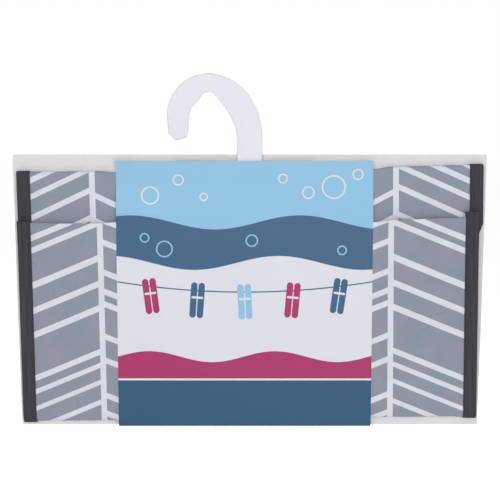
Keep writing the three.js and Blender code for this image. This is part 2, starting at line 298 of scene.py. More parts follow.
def wave(across, points):
    """A smooth line through a few points, in metres."""
    for (x0, z0), (x1, z1) in zip(points, points[1:]):
        if across <= x1 * MM:
            return MM * (z0 + (z1 - z0) * ease((across / MM - x0) / (x1 - x0)))
    return MM * points[-1][1]


def puff(across, z):
    """How far the front layer stands out: not under the band, nor along the bindings."""
    inner = HALF_BAG - BINDING_WIDTH
    left = (across + inner) / (BAND_LEFT + inner)
    right = (inner - across) / (inner - BAND_RIGHT)
    share = left if across < 0 else right
    if not 0 < share < 1:
        return 0.0
    height = min(max((z - FOLD.z) / (TOP_Z - FOLD.z), 0.0), 1.0)
    swell = PUFF_AT_ENDS + (1 - PUFF_AT_ENDS) * math.sin(math.pi * height)
    wrinkle = noise.noise(Vector((across * WRINKLE_SQUEEZE, 0.0, z)) * WRINKLE_SCALE) * WRINKLE
    return math.sin(math.pi * share) ** PUFF_ROUNDNESS * (PUFF * swell + wrinkle)


def beside_band(across):
    """0 under the band, 1 well outside it."""
    return ease(max(BAND_LEFT - across, across - BAND_RIGHT) / LIFT_RAMP)


def above_fold(z):
    """0 at the packing fold, 1 well above it."""
    return ease((z - FOLD.z) / LEVEL_REACH)


def settle(across, y, z, lower):
    """Where a point of the neatly folded bag lies in the pack: turned a little, wavy and puffed out.

    lower is 0 where it lies as the top does and 1 where it lies as the folded half does.
    """
    below_top = TOP_Z - z
    below_edge = EDGE_Z - z
    top_x = across + TOP_SKEW * below_top
    top_z = z + TOP_SKEW * across + wave(across, TOP_WAVE) * math.exp(-abs(below_top) / WAVE_REACH)
    low_x = LOWER_SHIFT + across * LOWER_NARROWING + LOWER_SKEW * (below_edge - LOWER_PIVOT)
    tilt = LOWER_SKEW * across
    low_z = z + tilt * above_fold(z)
    low_z += wave(across, EDGE_WAVE) * math.exp(-abs(below_edge) / WAVE_REACH)
    if z < FOLD.z:
        low_z = FOLD.z + (z - FOLD.z) * (1 + (wave(across, FOLD_WAVE) - tilt) / FOLD_RADIUS)
    new_x = top_x + (low_x - top_x) * lower
    new_z = top_z + (low_z - top_z) * lower
    new_y = y - puff(across, z) * (CARD_FACE_Y - y) / (CARD_FACE_Y - COVER_Y)
    if y < FOLDED_Y:
        new_y -= EDGE_LIFT * beside_band(across) * math.exp(-abs(below_edge) / LIFT_REACH)
    return Vector((CENTRE_X + new_x, new_y, new_z))


def strip_lower(along):
    """How far a point of the strip lies as the folded half does."""
    if along < INNER_START:
        below_top = along - TOP_END
    else:
        below_top = TOP_AXIS_Z - MOUTH_Z + abs(MOUTH - along)
    return ease(below_top / LIE_RAMP)


def on_strip(across, along, out=0.0):
    y, z = STRIP.at(along, out)
    return settle(across, y, z, strip_lower(along))


# Meshes

def add_object(name, mesh):
    thing = bpy.data.objects.new(name, mesh)
    bpy.context.scene.collection.objects.link(thing)
    return thing


def shell(name, outer, inner, uvs, finishes, slit=frozenset()):
    """A closed sheet between two grids of points, with one finish outside and one for the rest."""
    columns = len(outer[0])
    count = len(outer) * columns
    points = [p for grid in (outer, inner) for row in grid for p in row]
    rings = []
    for r in range(len(outer) - 1):
        for c in range(columns - 1):
            if (r, c) not in slit:
                first = r * columns + c
                rings.append((first, first + 1, first + columns + 1, first + columns))
    a, b, c, d = (points[i] for i in rings[0])
    if (c - a).cross(d - b).dot(a - points[rings[0][0] + count]) < 0:
        rings = [ring[::-1] for ring in rings]
    sides = {side for ring in rings for side in zip(ring, ring[1:] + ring[:1])}
    rim = sorted((a, b) for a, b in sides if (b, a) not in sides)
    faces = list(rings)
    faces += [tuple(i + count for i in ring[::-1]) for ring in rings]
    faces += [(b, a, a + count, b + count) for a, b in rim]
    mesh = bpy.data.meshes.new(name)
    mesh.from_pydata(points, [], faces)
    for finish in finishes:
        mesh.materials.append(finish)
    mesh.polygons.foreach_set("material_index", [int(i >= len(rings)) for i in range(len(faces))])
    flat_uvs = [uv for row in uvs for uv in row]
    layer = mesh.uv_layers.new(name="cloth")
    for loop in mesh.loops:
        layer.data[loop.index].uv = flat_uvs[loop.vertex_index % count]
    mesh.validate()
    mesh.shade_smooth()
    mesh.set_sharp_from_angle(angle=RIM_ANGLE)
    return add_object(name, mesh)


def steps(low, high, step):
    count = max(1, round((high - low) / step))
    return [low + (high - low) * i / count for i in range(count + 1)]


def laid(rows, lay, *out):
    """Each point of some rows in its place."""
    return [[lay(a, b, *out) for a, b in row] for row in rows]


def cloth(name, rows, finishes, uv, slit=frozenset()):
    """Cloth of the strip: rows of (across, along), printed side out."""
    outer, inner = (laid(rows, on_strip, out) for out in (CLOTH / 2, -CLOTH / 2))
    return shell(name, outer, inner, laid(rows, uv), finishes, slit)


def bezier(p0, p1, p2, p3, t):
    s = 1 - t
    shares = (s**3, 3 * s * s * t, 3 * s * t * t, t**3)
    return tuple(sum(share * x for share, x in zip(shares, xs)) for xs in zip(p0, p1, p2, p3))


def flap_side(inset):
    """Right edge of the flap, from behind the top fold to the flat run below: (across, along)."""
    half = HALF_BAG - inset
    flat = FLAP_FLAT / 2
    turn = TOP_Z - FLAP_STRAIGHT - FLAP_TIP_Z
    corner = (
        (half, turn),
        (half - FLAP_LEAN, turn - CORNER_PULL),
        (flat + (half - flat) / 2, inset),
        (flat, inset),
    )
    straight = [(half, along) for along in reversed(STRIP.stations(turn, TOP_END))]
    return straight + [bezier(*corner, (i + 1) / CORNER_STEPS) for i in range(CORNER_STEPS)]


def flap_uv(across, along):
    return across - FLAP_PRINT_CENTRE, TOP_Z - TOP_AXIS_Z + TOP_START - along


def body_uv(across, along):
    """The print as it shows in the pack: straight, also where the cloth is wavy or turns under."""
    shown = min(max(along, PACK_BOTTOM), EDGE_START)
    down = EDGE_Z + LOWER_SKEW * across - on_strip(across, shown).z
    return across - BODY_PRINT_CENTRE, down + shown - along


def flap_cloth(finishes):
    """Flap with the turn over the hanger's bar, which has a slit for the shank."""
    shares = [a / HALF_CLOTH for a in steps(SLIT_HALF, HALF_CLOTH, CROSS_STEP)]
    shares = [-s for s in reversed(shares)] + shares
    edge = flap_side(HALF_BAG - HALF_CLOTH)
    rows = [[(share * half, along) for share in shares] for half, along in edge]
    turn_rows = [i for i, (_, along) in enumerate(edge[1:]) if along >= TOP_START]
    slit = {(r, len(shares) // 2 - 1) for r in turn_rows}
    return cloth("flap_cloth", rows, finishes, flap_uv, slit)


def bag_cloth(name, first, last, finishes):
    columns = steps(-HALF_CLOTH, HALF_CLOTH, CROSS_STEP)
    rows = [[(a, b) for a in columns] for b in STRIP.stations(first, last)]
    return cloth(name, rows, finishes, body_uv)


def binding_section(width, is_whole):
    """Tape folded over an edge: inset and height of its middle, and the way its outer side looks."""
    leg = [(width + (LIFT - width) * share, LIFT, 0.0, 1.0) for share in LEG_SHARES]
    last_angle = 3 * QUARTER_TURN if is_whole else HALF_TURN
    arc = []
    for i in range(TURN_STEPS + 1):
        angle = UP + (last_angle - UP) * i / TURN_STEPS
        side, height = math.cos(angle), math.sin(angle)
        arc.append((LIFT + LIFT * side, LIFT * height, side, height))
    if is_whole:
        return leg + arc + [(inset, -height, 0.0, -1.0) for inset, height, _, _ in reversed(leg)]
    return leg + arc + [(0.0, -WEB_DEPTH, -1.0, 0.0)]


def tape(name, path, section, lay, finish):
    """Tape along a path of (across, along, inward across, inward along)."""
    def grid(thickness):
        rows = []
        for across, along, into_a, into_b in path:
            row = []
            for inset, height, side, rise in section:
                depth = inset + side * thickness
                out = height + rise * thickness
                row.append(lay(across + depth * into_a, along + depth * into_b, out))
            rows.append(row)
        return rows

    outer = grid(TAPE / 2)
    girth = [0.0]
    for before, after in zip(section, section[1:]):
        girth.append(girth[-1] + math.dist(before[:2], after[:2]))
    uvs = []
    distance = 0.0
    for r, row in enumerate(outer):
        distance += (row[0] - outer[max(r - 1, 0)][0]).length
        uvs.append([(across, distance) for across in girth])
    return shell(name, outer, grid(-TAPE / 2), uvs, (finish, finish))


def flap_path(inset):
    """The whole edge of the flap, from right to left, with the direction inwards."""
    right = flap_side(inset)
    flat = [(a, inset) for a in steps(-FLAP_FLAT / 2, FLAP_FLAT / 2, 2 * CROSS_STEP)[1:-1]]
    edge = right + flat[::-1] + [(-a, b) for a, b in reversed(right)]
    path = []
    for i, (a, b) in enumerate(edge):
        (a0, b0), (a1, b1) = edge[max(i - 1, 0)], edge[min(i + 1, len(edge) - 1)]
        length = math.hypot(a1 - a0, b1 - b0)
        path.append((a, b, (b1 - b0) / length, (a0 - a1) / length))
    return path


def tape_run(first_y, first_z, last_y, last_z):
    """Down one half of the bag, round the packing fold and up the other half."""
    run = Run(first_y, first_z, DOWN)
    fold_start = run.line(first_z - FOLD.z)
    way = last_y - first_y
    fold_end = run.turn(abs(way) / 2, math.copysign(HALF_TURN, way))
    run.line(last_z - FOLD.z)
    return run, fold_start, fold_end


def tape_lay(run, starts_low):
    """How a side tape's points lie in the pack."""
    def lower(along):
        return ease((run.length - along if starts_low else along) / LIE_RAMP)

    def lay(across, along, out):
        y, z = run.at(along, out)
        return settle(across, y, z, lower(along))

    return lay


def side_tape(name, side, run, lay, finish):
    path = [(side * HALF_BAG, along, -side, 0.0) for along in run.stations(0.0, run.length)]
    return tape(name, path, binding_section(SIDE_TAPE_WIDTH, is_whole=False), lay, finish)


def seam_lines(side, run, lay, fold_start, fold_end):
    """Rows of stitches on a side tape's face, before and after the packing fold."""
    row = side * (HALF_BAG - SIDE_TAPE_WIDTH + STITCH_INSET)
    before = steps(SIDE_SEAM_STOP, fold_start - FOLD_SEAM_GAP, CROSS_STEP)
    after = steps(fold_end + FOLD_SEAM_GAP, run.length - SIDE_SEAM_STOP, CROSS_STEP)
    return [[lay(row, along, LIFT + TAPE / 2) for along in part] for part in (before, after)]


# Stitches

def stitch_tree(finish):
    """Geometry nodes: thread stitches along every line of a mesh."""
    tree = bpy.data.node_groups.new("stitch_rows", "GeometryNodeTree")
    tree.is_modifier = True
    tree.interface.new_socket("Lines", in_out="INPUT", socket_type="NodeSocketGeometry")
    for name in ("Pitch", "Length", "Thread"):
        tree.interface.new_socket(name, in_out="INPUT", socket_type="NodeSocketFloat")
    tree.interface.new_socket("Stitches", in_out="OUTPUT", socket_type="NodeSocketGeometry")
    given = tree.nodes.new("NodeGroupInput").outputs
    result = tree.nodes.new("NodeGroupOutput").inputs
    curve = add(tree, "GeometryNodeMeshToCurve", {"Mesh": given["Lines"]})
    points = add(tree, "GeometryNodeCurveToPoints", {
        "Curve": curve.outputs["Curve"],
        "Length": given["Pitch"],
    }, mode="LENGTH")
    sizes = {"Segments": STITCH_SIDES, "Rings": STITCH_RINGS, "Radius": 0.5}
    bead = add(tree, "GeometryNodeMeshUVSphere", sizes)
    thread, length = given["Thread"], given["Length"]
    size = add(tree, "ShaderNodeCombineXYZ", {"X": thread, "Y": thread, "Z": length})
    stitches = add(tree, "GeometryNodeInstanceOnPoints", {
        "Points": points.outputs["Points"],
        "Instance": bead.outputs["Mesh"],
        "Rotation": points.outputs["Rotation"],
        "Scale": size.outputs["Vector"],
    })
    real = add(tree, "GeometryNodeRealizeInstances", {"Geometry": stitches.outputs["Instances"]})
    smooth = add(tree, "GeometryNodeSetShadeSmooth", {"Geometry": real.outputs["Geometry"]})
    look = {"Geometry": smooth.outputs["Geometry"], "Material": finish}
    painted = add(tree, "GeometryNodeSetMaterial", look)
    tree.links.new(painted.outputs["Geometry"], result["Stitches"])
    return tree


def stitch_rows(name, lines, tree):
    """Stitches along some lines of points, as one plain mesh."""
    mesh = bpy.data.meshes.new(name + "_lines")
    points, edges = [], []
    for line in lines:
        edges += [(len(points) + i, len(points) + i + 1) for i in range(len(line) - 1)]
        points += line
    mesh.from_pydata(points, edges, [])
    piece = add_object(name, mesh)
    modifier = piece.modifiers.new("stitches", "NODES")
    modifier.node_group = tree
    sizes = {"Pitch": STITCH_PITCH, "Length": STITCH_LENGTH, "Thread": THREAD}
    for socket in tree.interface.items_tree:
        if socket.name in sizes:
            modifier[socket.identifier] = sizes[socket.name]
    made = bpy.data.meshes.new_from_object(piece.evaluated_get(bpy.context.evaluated_depsgraph_get()))
    piece.modifiers.clear()
    piece.data = made
    return piece


# Rigid pieces

def bent_run(corners, radius):
    """A run through corner points (y, z), each corner rounded."""
    points = [Vector(corner) for corner in corners]
    headings = [math.atan2(b.y - a.y, b.x - a.x) for a, b in zip(points, points[1:])]
    turns = [(b - a + HALF_TURN) % (2 * HALF_TURN) - HALF_TURN for a, b in zip(headings, headings[1:])]
    cuts = [0.0] + [radius * math.tan(abs(turn) / 2) for turn in turns] + [0.0]
    run = Run(*corners[0], headings[0])
    for i, (a, b) in enumerate(zip(points, points[1:])):
        run.line((b - a).length - cuts[i] - cuts[i + 1])
        if i < len(turns):
            run.turn(radius, turns[i])
    return run


BAND_BEND = 1.4 * MM
BAND_GAP = 0.3 * MM
BAND_BOW = 0.35 * MM
BOW_RAMP = 30 * MM
SPINE_RISE = 2.2 * MM


def front_band(finishes):
    """Board band: spine under the fold, front, shoulder over the folded half's edge, and top."""
    top_z = span("front_card", Z)[1]
    front_y = span("front_card", Y)[0] + BOARD / 2
    top_y = span("flap_panel", Y)[0] - BAND_GAP - BOARD / 2
    band_above = top_z - TOP_Z
    shoulder_z = EDGE_Z + band_above
    lip_z = (shoulder_z + top_z) / 2
    run = bent_run([
        (span("front_card", Y)[1], CREASE.z),
        (front_y, CREASE.z + SPINE_RISE),
        (front_y, shoulder_z),
        (top_y, lip_z),
        (top_y, top_z),
    ], BAND_BEND)

    def lay(across, along, out):
        y, z = run.at(along, out)
        share = (across - BAND_LEFT) / (BAND_RIGHT - BAND_LEFT)
        ramps = ease((z - CREASE.z) / BOW_RAMP) * ease((shoulder_z - z) / BOW_RAMP)
        bow = BAND_BOW * math.sin(math.pi * share) * ramps
        return Vector((CENTRE_X + across, y - bow, z))

    columns = steps(BAND_LEFT, BAND_RIGHT, CROSS_STEP)
    rows = [[(a, b) for a in columns] for b in run.stations(0.0, run.length)]
    outer, inner = (laid(rows, lay, out) for out in (BOARD / 2, -BOARD / 2))
    front_start = run.steps[2][0]  # after the spine and its bend
    uvs = [[(a - BAND_LEFT, b - front_start) for a, b in row] for row in rows]
    return shell("front_band", outer, inner, uvs, finishes)


BOARD_SPREAD = 0.5 * MM  # of its lower corners
BOARD_STEP = 0.04  # as a share of its half width


def backing_board(finish):
    """Flat board behind the bag, a little narrower at the bottom."""
    def lay(across, z, y):
        return Vector((CENTRE_X + across, y, z))

    low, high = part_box("backing_card")
    corners = [v.co for v in frame["nodes"]["backing_card"].data.vertices]
    bottom_half = max(c.x for c in corners if c.z < (low.z + high.z) / 2) - CENTRE_X + BOARD_SPREAD
    top_half = high.x - CENTRE_X
    rows = []
    for z in steps(low.z, high.z, 2 * LENGTH_STEP):
        half = bottom_half + (top_half - bottom_half) * (z - low.z) / (high.z - low.z)
        rows.append([(share * half, z) for share in steps(-1.0, 1.0, BOARD_STEP)])
    outer, inner = (laid(rows, lay, y) for y in (low.y, high.y))
    return shell("backing_board", outer, inner, rows, (finish, finish))


MERGE_DISTANCE = 1e-6
SHARP_ANGLE = math.radians(16)


def moulded_hanger(finish):
    """The hanger's own solid, with its facets joined and shaded smooth."""
    mesh = frame["nodes"]["hanger"].data.copy()
    mesh.name = "moulded_hanger"
    solid = bmesh.new()
    solid.from_mesh(mesh)
    bmesh.ops.remove_doubles(solid, verts=solid.verts, dist=MERGE_DISTANCE)
    solid.to_mesh(mesh)
    solid.free()
    stored_normals = mesh.attributes.get("custom_normal")
    if stored_normals:
        mesh.attributes.remove(stored_normals)
    mesh.shade_smooth()
    mesh.set_sharp_from_angle(angle=SHARP_ANGLE)
    mesh.materials.clear()
    mesh.materials.append(finish)
    return add_object("moulded_hanger", mesh)


BEAD_SIDES, BEAD_RINGS = 32, 16
BEAD_BLUNT = 0.45
BEAD_LUMP = 0.12
LUMP_SCALE = 2.3
LUMP_CHANGE = 40.0  # from place to place, so that the beads differ


def glue_bead(side, finish):
    """A pressed bead of glue, blunt and a little lumpy."""
    low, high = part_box(f"glue_bead_{side}")
    centre, half = (low + high) / 2, (high - low) / 2
    mesh = bpy.data.meshes.new(f"glue_{side}")
    solid = bmesh.new()
    bmesh.ops.create_uvsphere(solid, u_segments=BEAD_SIDES, v_segments=BEAD_RINGS, radius=1.0)
    for vert in solid.verts:
        lumps = noise.noise(vert.co * LUMP_SCALE + centre * LUMP_CHANGE)
        lump = 1 - BEAD_LUMP * (0.5 + 0.5 * lumps)
        blunt = [math.copysign(abs(c) ** BEAD_BLUNT, c) for c in vert.co]
        vert.co = centre + Vector(b * h * lump for b, h in zip(blunt, half))
    solid.to_mesh(mesh)
    solid.free()
    mesh.shade_smooth()
    mesh.materials.append(finish)
    return add_object(f"glue_{side}", mesh)


# Helpers for nodes

def srgb(red, green, blue):
    def linear(value):
        value /= 255
        return value / 12.92 if value <= 0.04045 else ((value + 0.055) / 1.055) ** 2.4
    return (linear(red), linear(green), linear(blue), 1.0)


def put(tree, socket, value):
    if isinstance(value, bpy.types.NodeSocket):
        tree.links.new(value, socket)
    else:
        socket.default_value = value


def add(tree, kind, inputs, **settings):
    made = tree.nodes.new(kind)
    for name, value in settings.items():
        setattr(made, name, value)
    for name, value in inputs.items():
        put(tree, made.inputs[name], value)
    return made


def calc(tree, operation, *values):
    return add(tree, "ShaderNodeMath", dict(enumerate(values)), operation=operation).outputs[0]


def vector_calc(tree, operation, *values):
    return add(tree, "ShaderNodeVectorMath", dict(enumerate(values)), operation=operation).outputs


def between(tree, share, low, high):
    """From low where the share is 0 to high where it is 1."""
    return calc(tree, "MULTIPLY_ADD", share, high - low, low)


def mixed(tree, factor, first, second):
    """The Mix node with its sockets for colours."""
    return add(tree, "ShaderNodeMix", {0: factor, 6: first, 7: second}, data_type="RGBA").outputs[2]


def scaled(tree, value, factor):
    """A colour or a place, times a factor."""
    if isinstance(value, tuple):
        value = value[:3]
    return add(tree, "ShaderNodeVectorMath", {0: value, "Scale": factor}, operation="SCALE").outputs[0]


def split(tree, place):
    return add(tree, "ShaderNodeSeparateXYZ", {"Vector": place}).outputs


def shader_group(name, output, vectors=("Vector",), numbers=()):
    """A group with one number as its output."""
    tree = bpy.data.node_groups.new(name, "ShaderNodeTree")
    for kind, labels in (("NodeSocketVector", vectors), ("NodeSocketFloat", numbers)):
        for label in labels:
            tree.interface.new_socket(label, in_out="INPUT", socket_type=kind)
    tree.interface.new_socket(output, in_out="OUTPUT", socket_type="NodeSocketFloat")
    given = tree.nodes.new("NodeGroupInput").outputs
    return tree, given, tree.nodes.new("NodeGroupOutput").inputs[0]


def use(tree, group, inputs):
    return add(tree, "ShaderNodeGroup", inputs, node_tree=group).outputs[0]


def new_material(name, specular, roughness=0.5):
    made = bpy.data.materials.new(name)
    made.use_nodes = True
    shader = made.node_tree.nodes["Principled BSDF"]
    shader.inputs["Roughness"].default_value = roughness
    shader.inputs["Specular IOR Level"].default_value = specular
    return made, made.node_tree, shader.inputs


def bump(tree, height, distance, strength, over=None):
    made = add(tree, "ShaderNodeBump", {"Strength": strength, "Distance": distance, "Height": height})
    if over:
        put(tree, made.inputs["Normal"], over)
    return made.outputs["Normal"]


def cloth_uv(tree):
    return add(tree, "ShaderNodeUVMap", {}, uv_map="cloth").outputs["UV"]


def object_place(tree):
    return tree.nodes.new("ShaderNodeTexCoord").outputs["Object"]


def in_millimetres(tree, place):
    return scaled(tree, place, 1 / MM)


def cloud(tree, place, scale, detail, **more):
    inputs = {"Vector": place, "Scale": scale, "Detail": detail, **more}
    return add(tree, "ShaderNodeTexNoise", inputs).outputs[0]


def weave_group():
    """Plain weave: threads that pass over and under each other."""
    tree, given, result = shader_group("plain_weave", "Height", numbers=("Thread",))
    parts = split(tree, given["Vector"])
    threads = [calc(tree, "DIVIDE", parts[axis], given["Thread"]) for axis in "XY"]
    rises = [calc(tree, "SINE", calc(tree, "MULTIPLY", thread, HALF_TURN)) for thread in threads]
    crossing = calc(tree, "MULTIPLY", *rises)
    tree.links.new(between(tree, crossing, 0.5, 1.0), result)
    return tree


def mottle_group():
    """A slow change of shade over a surface, about 1."""
    tree, given, result = shader_group("mottle", "Shade", numbers=("Scale", "Amount"))
    centred = calc(tree, "SUBTRACT", cloud(tree, given["Vector"], given["Scale"], 4.0), 0.5)
    tree.links.new(calc(tree, "MULTIPLY_ADD", centred, given["Amount"], 1.0), result)
    return tree


RIDGE_STEEPNESS = 12.0
RIDGE_HEIGHT = 0.5


def crease_group():
    """Faint creases of cloth that was folded: thin ridges along a slow, bent pattern."""
    tree, given, result = shader_group("creases", "Height", numbers=("Scale",))
    slow = cloud(tree, given["Vector"], given["Scale"], 2.0, Distortion=0.8)
    from_ridge = calc(tree, "ABSOLUTE", calc(tree, "SUBTRACT", slow, 0.5))
    ridge = calc(tree, "MAXIMUM", calc(tree, "MULTIPLY_ADD", from_ridge, -RIDGE_STEEPNESS, 1.0), 0.0)
    tree.links.new(calc(tree, "MULTIPLY_ADD", ridge, RIDGE_HEIGHT, slow), result)
    return tree


def stripe_mask(tree, height, centres, odd_widths):
    """1 on stripes at those heights, some of them wider or narrower than the rest."""
    mask = 0.0
    for centre in centres:
        reach = odd_widths.get(centre, STRIPE) / 2
        mask = calc(tree, "MAXIMUM", mask, calc(tree, "COMPARE", height, centre, reach))
    return mask


def herringbone_group(
    name, pitch, slope, lean, repeat, outer_lines, middle_lines, inner_lines, odd_widths,
):
    """White herringbone: slanting stripes in columns, mirrored about the middle of the cloth.

    It is printed a little askew: lean is how steeply it falls to the right.
    """
    tree, given, result = shader_group(name, "White")
    parts = split(tree, in_millimetres(tree, given["Vector"]))
    across = calc(tree, "ABSOLUTE", parts["X"])
    past_lines = calc(tree, "SUBTRACT", across, 2 * pitch)
    within_lines = calc(tree, "PINGPONG", calc(tree, "MINIMUM", across, 2 * pitch), pitch)
    fall = calc(tree, "MULTIPLY", calc(tree, "MAXIMUM", within_lines, past_lines), slope)
    level = calc(tree, "MULTIPLY_ADD", parts["X"], -lean, calc(tree, "SUBTRACT", parts["Y"], fall))
    height = calc(tree, "WRAP", level, PRINT_START + repeat, PRINT_START)
    columns = (inner_lines, middle_lines, outer_lines)
    inner, middling, outer = (stripe_mask(tree, height, lines, odd_widths) for lines in columns)
    white = mixed(tree, calc(tree, "GREATER_THAN", across, pitch), inner, middling)
    white = mixed(tree, calc(tree, "GREATER_THAN", past_lines, 0.0), white, outer)
    for line in range(3):
        is_line = calc(tree, "COMPARE", across, line * pitch, COLUMN_LINE / 2)
        white = calc(tree, "MAXIMUM", white, is_line)
    tree.links.new(white, result)
    return tree


# Finishes

CLOTH_COOL = srgb(126, 147, 160)
CLOTH_WARM = srgb(154, 147, 163)
INK_WHITE = srgb(218, 221, 231)
LINING_GREY = srgb(176, 178, 184)
TAPE_DARK = srgb(66, 63, 70)
THREAD_NAVY = srgb(48, 49, 66)
PLASTIC_WHITE = srgb(223, 224, 233)
BOARD_PALE = srgb(229, 226, 229)
GLUE_PALE = srgb(226, 222, 208)
CLOTH_THREAD = 0.45 * MM
TAPE_THREAD = 0.6 * MM
TAPE_RIBS = (1.0, 0.03, 1.0)  # drawn out along the tape
WEAVE_DEPTH = 0.05 * MM
CREASE_DEPTH = 0.8 * MM
GRAIN_DEPTH = 0.02 * MM
FIBRE_DEPTH = 0.03 * MM
FLECK_SCALE = 1100.0
FLECK_LEVEL = 0.64  # of the noise, above which board is darker
FLECK_SHADE = 0.93
CLOTH_ROUGHNESS, INK_ROUGHNESS = 0.64, 0.56
PLASTIC_ROUGHNESS = (0.32, 0.44)
PRINT_ROUGHNESS = (0.36, 0.51)
THREAD_SHADE = (0.9, 1.1)


def paint(tree, shader, colour, mottle, place, scale, amount):
    """Base colour, a little lighter and darker from place to place."""
    shade = use(tree, mottle, {"Vector": place, "Scale": scale, "Amount": amount})
    put(tree, shader["Base Color"], scaled(tree, colour, shade))


def raise_cloth(tree, shader, weave, creases, uv, crease_scale, strength):
    """Fine threads over the creases."""
    threads = use(tree, weave, {"Vector": uv, "Thread": CLOTH_THREAD})
    folds = use(tree, creases, {"Vector": uv, "Scale": crease_scale})
    folded = bump(tree, folds, CREASE_DEPTH, strength=0.7)
    put(tree, shader["Normal"], bump(tree, threads, WEAVE_DEPTH, strength, over=folded))


def printed_cloth(name, weave, mottle, creases, herringbone):
    """Coated cloth of two near greys, with white stripes that shine a little more."""
    made, tree, shader = new_material(name, specular=0.3)
    uv = cloth_uv(tree)
    white = use(tree, herringbone, {"Vector": uv})
    tint = cloud(tree, uv, scale=60.0, detail=3.0)
    colour = mixed(tree, white, mixed(tree, tint, CLOTH_COOL, CLOTH_WARM), INK_WHITE)
    paint(tree, shader, colour, mottle, uv, scale=45.0, amount=0.16)
    put(tree, shader["Roughness"], between(tree, white, CLOTH_ROUGHNESS, INK_ROUGHNESS))
    raise_cloth(tree, shader, weave, creases, uv, crease_scale=38.0, strength=0.5)
    return made


def coated_lining(weave, mottle, creases):
    made, tree, shader = new_material("coated_lining", specular=0.35, roughness=0.5)
    uv = cloth_uv(tree)
    paint(tree, shader, LINING_GREY, mottle, uv, scale=30.0, amount=0.12)
    raise_cloth(tree, shader, weave, creases, uv, crease_scale=26.0, strength=0.3)
    return made


def binding_tape(weave, mottle):
    made, tree, shader = new_material("binding_tape", specular=0.15, roughness=0.85)
    uv = cloth_uv(tree)
    threads = use(tree, weave, {"Vector": uv, "Thread": TAPE_THREAD})
    colour = scaled(tree, TAPE_DARK, between(tree, threads, *THREAD_SHADE))
    ribs = vector_calc(tree, "MULTIPLY", uv, TAPE_RIBS)["Vector"]
    paint(tree, shader, colour, mottle, ribs, scale=700.0, amount=1.3)
    put(tree, shader["Normal"], bump(tree, threads, 2 * WEAVE_DEPTH, strength=0.6))
    return made


def sewing_thread(mottle):
    made, tree, shader = new_material("sewing_thread", specular=0.3, roughness=0.7)
    paint(tree, shader, THREAD_NAVY, mottle, object_place(tree), scale=900.0, amount=0.3)
    return made


def moulded_plastic(mottle):
    made, tree, shader = new_material("moulded_plastic", specular=0.5)
    place = object_place(tree)
    paint(tree, shader, PLASTIC_WHITE, mottle, place, scale=25.0, amount=0.03)
    grain = cloud(tree, place, scale=900.0, detail=2.0)
    put(tree, shader["Roughness"], between(tree, grain, *PLASTIC_ROUGHNESS))
    put(tree, shader["Normal"], bump(tree, grain, GRAIN_DEPTH, strength=0.25))
    shader["Subsurface Weight"].default_value = 0.08
    shader["Subsurface Radius"].default_value = (2 * MM, 2 * MM, 2 * MM)
    return made


def pale_board(mottle):
    """Uncoated board, with fine flecks of darker fibre."""
    made, tree, shader = new_material("pale_board", specular=0.3, roughness=0.7)
    place = object_place(tree)
    specks = cloud(tree, place, FLECK_SCALE, detail=1.0)
    is_fleck = calc(tree, "GREATER_THAN", specks, FLECK_LEVEL)
    colour = scaled(tree, BOARD_PALE, between(tree, is_fleck, 1.0, FLECK_SHADE))
    paint(tree, shader, colour, mottle, place, scale=40.0, amount=0.04)
    fibre = cloud(tree, place, scale=1400.0, detail=3.0)
    put(tree, shader["Normal"], bump(tree, fibre, FIBRE_DEPTH, strength=0.3))
    return made


def set_glue(mottle):
    made, tree, shader = new_material("set_glue", specular=0.5, roughness=0.3)
    paint(tree, shader, GLUE_PALE, mottle, object_place(tree), scale=200.0, amount=0.1)
    return made


# Plain printed design of the band, in millimetres: fields with wavy edges, bubbles and pegs on a line
PRINT_NAVY = srgb(63, 98, 132)
PRINT_SKY = srgb(146, 195, 227)
PRINT_MAGENTA = srgb(170, 54, 104)
PRINT_PALE = srgb(224, 225, 233)
# The navy ink again, written darker for the bottom strip: painted shade for the weaker sheen on the
# band's lower part
PRINT_NAVY_SHADED = srgb(48, 87, 119)
# Each field lies below a wavy line: height, swing, length of a wave, shift and ink
FIELDS = (
    (147, 5, 120, 20, PRINT_NAVY),
    (118, 5, 120, 35, PRINT_PALE),
    (50, 4, 90, 0, PRINT_MAGENTA),
    (34, 0, 90, 0, PRINT_PALE),
    # bottom strip in the darker copy of the navy: painted shade
    (32.5, 0, 90, 0, PRINT_NAVY_SHADED),
)
# Rings of each ink: across, up and radius
BUBBLES = {
    PRINT_PALE: (
        (24, 166, 6), (44, 177, 3.5), (62, 165, 2.5), (118, 178, 3),
        (136, 168, 4), (154, 172, 8), (171, 181, 3.5),
    ),
    PRINT_SKY: ((20, 136, 3), (34, 128, 5.5), (96, 134, 4), (160, 127, 3)),
}
BUBBLE_LINE = 1.0
# A line across the pale field with plain pegs: place along the line, tilt in degrees and ink
PEGS = (
    (24, -7, PRINT_MAGENTA), (57, 4, PRINT_NAVY), (91, -3, PRINT_SKY),
    (125, 5, PRINT_MAGENTA), (158, 8, PRINT_NAVY),
)
LINE_HEIGHT = 97.0
LINE_SAG = 0.0009
LINE_WIDTH = 0.9
LINE_MIDDLE = 91.0
PEG_DROP = 7.0
PEG_REACH = 10.5
PEG_LEG = 2.3
PEG_SPLAY = 2.65
SPRING_RISE = 2.0
SPRING_REACH = 3.4
SPRING_WIDTH = 0.8


def rounded_bar_group():
    """Mask of an upright bar with round ends."""
    tree, given, result = shader_group("rounded_bar", "Mask", ("Vector", "Centre"), ("Reach", "Radius"))
    away = vector_calc(tree, "SUBTRACT", given["Vector"], given["Centre"])["Vector"]
    parts = split(tree, away)
    past_end = calc(tree, "SUBTRACT", calc(tree, "ABSOLUTE", parts["Y"]), given["Reach"])
    past_end = calc(tree, "MAXIMUM", past_end, 0.0)
    nearest = add(tree, "ShaderNodeCombineXYZ", {"X": parts["X"], "Y": past_end}).outputs[0]
    distance = vector_calc(tree, "LENGTH", nearest)["Value"]
    tree.links.new(calc(tree, "LESS_THAN", distance, given["Radius"]), result)
    return tree


